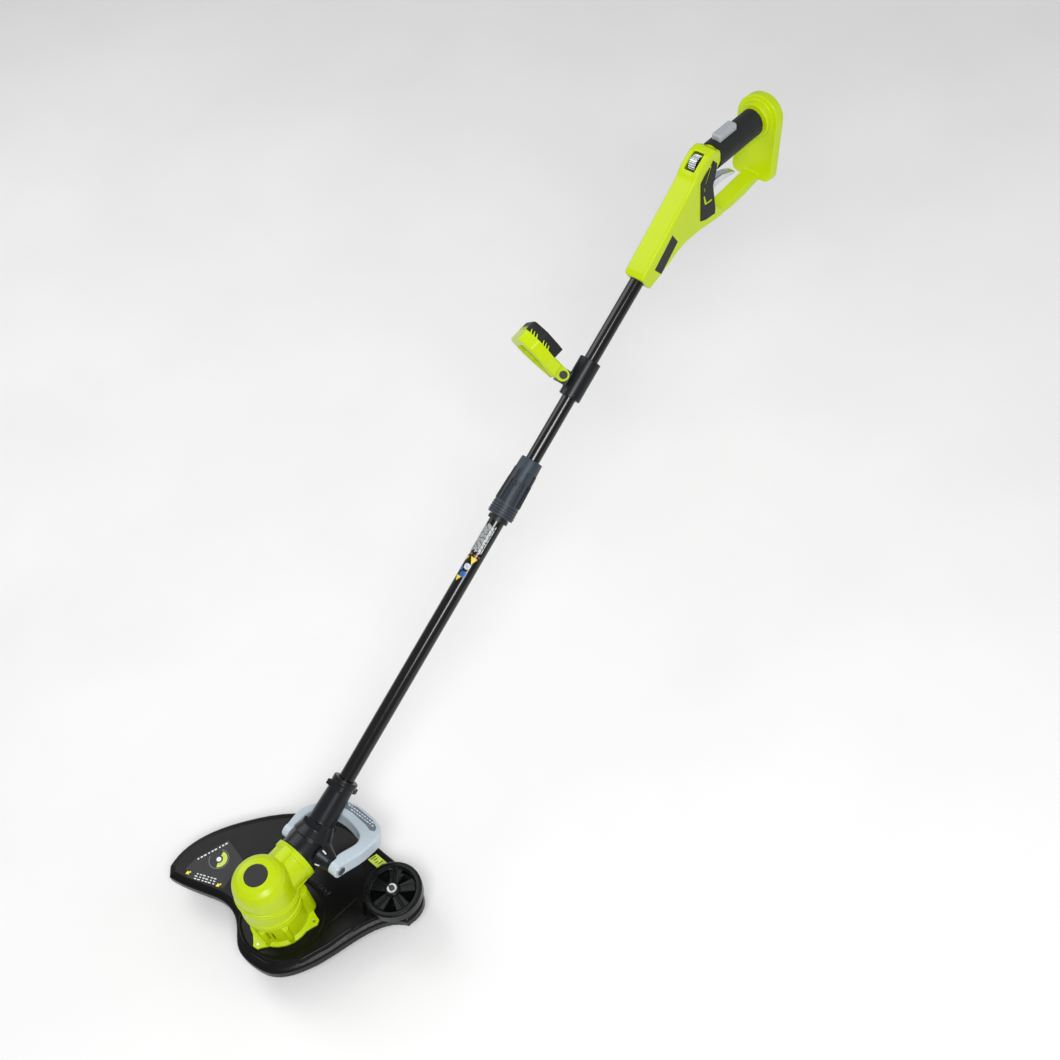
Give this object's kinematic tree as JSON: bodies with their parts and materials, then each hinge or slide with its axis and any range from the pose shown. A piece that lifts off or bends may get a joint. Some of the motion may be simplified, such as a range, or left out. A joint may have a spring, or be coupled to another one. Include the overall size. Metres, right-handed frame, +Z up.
{
  "type": "lawn edger",
  "caption": "Hand-held cordless line trimmer and lawn edger: rear D-handle, telescopic tube, front loop handle, foot pedal, turning motor head, guard, edge wheel and line spool.",
  "frame": {"origin": "centre of the line spool cap's flat rest face", "axes": "+X to the user's right, +Y forward from the rear handle to the head, +Z up along the motor's axis in the trimming position"},
  "size_m": [0.3432, 1.2388, 0.6755],
  "materials": {
    "lime_plastic": "satin, fine moulded grain",
    "soft_grip": "matte soft overmould with fine grooves",
    "badge_black": "smooth blank badge",
    "black_plastic": "moulded, satin",
    "hub_black": "moulded, satin, slightly greyed",
    "guard_black": "moulded, satin sheen",
    "wheel_black": "moulded, satin sheen",
    "collar_rubber": "matte blue-grey rubbery plastic",
    "black_tube": "gloss black powder coat",
    "light_grey_plastic": "satin light grey",
    "pedal_grey": "satin light blue-grey",
    "pad_grey": "dark grey tread strip",
    "silver_plastic": "silver plated plastic",
    "zinc_steel": "zinc plated",
    "black_steel": "blackened steel",
    "cutter_steel": "ground steel",
    "brass": "plain",
    "copper": "copper segments",
    "nylon_white": "natural nylon",
    "line_nylon": "orange extruded nylon line",
    "magnet": "sintered ferrite",
    "armature_steel": "laminated steel with windings",
    "circuit_board": "green resist"
  },
  "bodies": {
    "rear_handle": {"handle_shell_left": "lime_plastic", "handle_shell_right": "lime_plastic", "handle_screws": "black_steel", "grip_sleeve": "soft_grip", "side_panel_left": "soft_grip", "side_panel_right": "soft_grip", "badge_left": "badge_black", "badge_right": "badge_black", "trigger_pin": "zinc_steel", "power_switch": "black_plastic", "dial_spindle": "zinc_steel", "control_board": "circuit_board", "battery_dock": "black_plastic", "battery_terminals": "brass", "upper_tube": "black_tube", "clamp_sleeve": "hub_black", "front_handle_bolt": "black_steel"},
    "trigger": {"trigger": "silver_plastic"},
    "lock_off_button": {"lock_off_button": "light_grey_plastic"},
    "speed_dial": {"speed_dial": "silver_plastic"},
    "front_handle": {"front_handle_frame": "lime_plastic", "front_handle_grip": "soft_grip"},
    "front_handle_knob": {"front_handle_knob": "black_plastic"},
    "lower_tube": {"lower_tube": "black_tube", "collet_base": "black_plastic", "collet_jaws": "nylon_white", "hub_left": "hub_black", "hub_right": "hub_black", "hub_screws": "black_steel", "turn_stop_pin": "zinc_steel", "pedal_pins": "zinc_steel"},
    "twist_collar": {"twist_collar": "collar_rubber"},
    "foot_pedal": {"foot_pedal": "pedal_grey", "pedal_pad": "pad_grey"},
    "head": {"motor_housing_upper": "lime_plastic", "motor_housing_lower": "lime_plastic", "dome_badge": "badge_black", "turning_spigot": "nylon_white", "motor_can": "zinc_steel", "motor_end_cap": "black_plastic", "motor_magnets": "magnet", "lower_bushing": "brass", "upper_bushing": "brass", "guard": "guard_black", "guard_screws": "zinc_steel", "line_cutter": "cutter_steel", "wheel_axle": "black_steel", "axle_clip": "zinc_steel", "axle_washer": "black_steel"},
    "edge_wheel": {"edge_wheel": "wheel_black"},
    "rotor": {"motor_shaft": "cutter_steel", "armature": "armature_steel", "commutator": "copper", "cooling_fan": "nylon_white", "spool_housing": "black_plastic", "line_reel": "nylon_white", "wound_line": "line_nylon", "bump_cap": "black_plastic", "cutting_line": "line_nylon"}
  },
  "joints": [
    {"name": "telescope", "type": "slide", "parent": "rear_handle", "child": "lower_tube", "axis": [0, 0.8829, -0.4695], "range_m": [-0.09, 0.11]},
    {"name": "collar_twist", "type": "hinge", "parent": "lower_tube", "child": "twist_collar", "pos_m": [0, -0.57645, 0.4069], "axis": [0, -0.8829, 0.4695], "range_deg": [0, 75]},
    {"name": "head_turn", "type": "hinge", "parent": "lower_tube", "child": "head", "pos_m": [0, -0.082, 0.144], "axis": [0, -1, 0], "range_deg": [0, 90]},
    {"name": "pedal_press", "type": "hinge", "parent": "lower_tube", "child": "foot_pedal", "pos_m": [0, -0.082, 0.144], "axis": [1, 0, 0], "range_deg": [0, 14], "stiffness_Nm_per_rad": 1.2, "springref_deg": -8.59},
    {"name": "wheel_spin", "type": "hinge", "parent": "head", "child": "edge_wheel", "pos_m": [-0.109, -0.118, 0.075], "axis": [0, 0, 1], "continuous": true},
    {"name": "rotor_spin", "type": "hinge", "parent": "head", "child": "rotor", "pos_m": [0, 0, 0.1], "axis": [0, 0, 1], "continuous": true},
    {"name": "trigger_pull", "type": "hinge", "parent": "rear_handle", "child": "trigger", "pos_m": [0, -1.01104, 0.59494], "axis": [-1, 0, 0], "range_deg": [0, 10], "stiffness_Nm_per_rad": 0.6, "springref_deg": -11.46},
    {"name": "lock_off_press", "type": "slide", "parent": "rear_handle", "child": "lock_off_button", "axis": [0, 0, -1], "range_m": [0, 0.003], "stiffness_N_per_m": 800, "springref_m": -0.002},
    {"name": "dial_turn", "type": "hinge", "parent": "rear_handle", "child": "speed_dial", "pos_m": [0, -1.00453, 0.6583], "axis": [1, 0, 0], "range_deg": [0, 270]},
    {"name": "front_handle_tilt", "type": "hinge", "parent": "rear_handle", "child": "front_handle", "pos_m": [0.01915, -0.71283, 0.49762], "axis": [0.6428, -0.3596, -0.6764], "range_deg": [-25, 35]},
    {"name": "knob_turn", "type": "hinge", "parent": "rear_handle", "child": "front_handle_knob", "pos_m": [0.01915, -0.71283, 0.49762], "axis": [0.6428, -0.3596, -0.6764], "continuous": true}
  ]
}
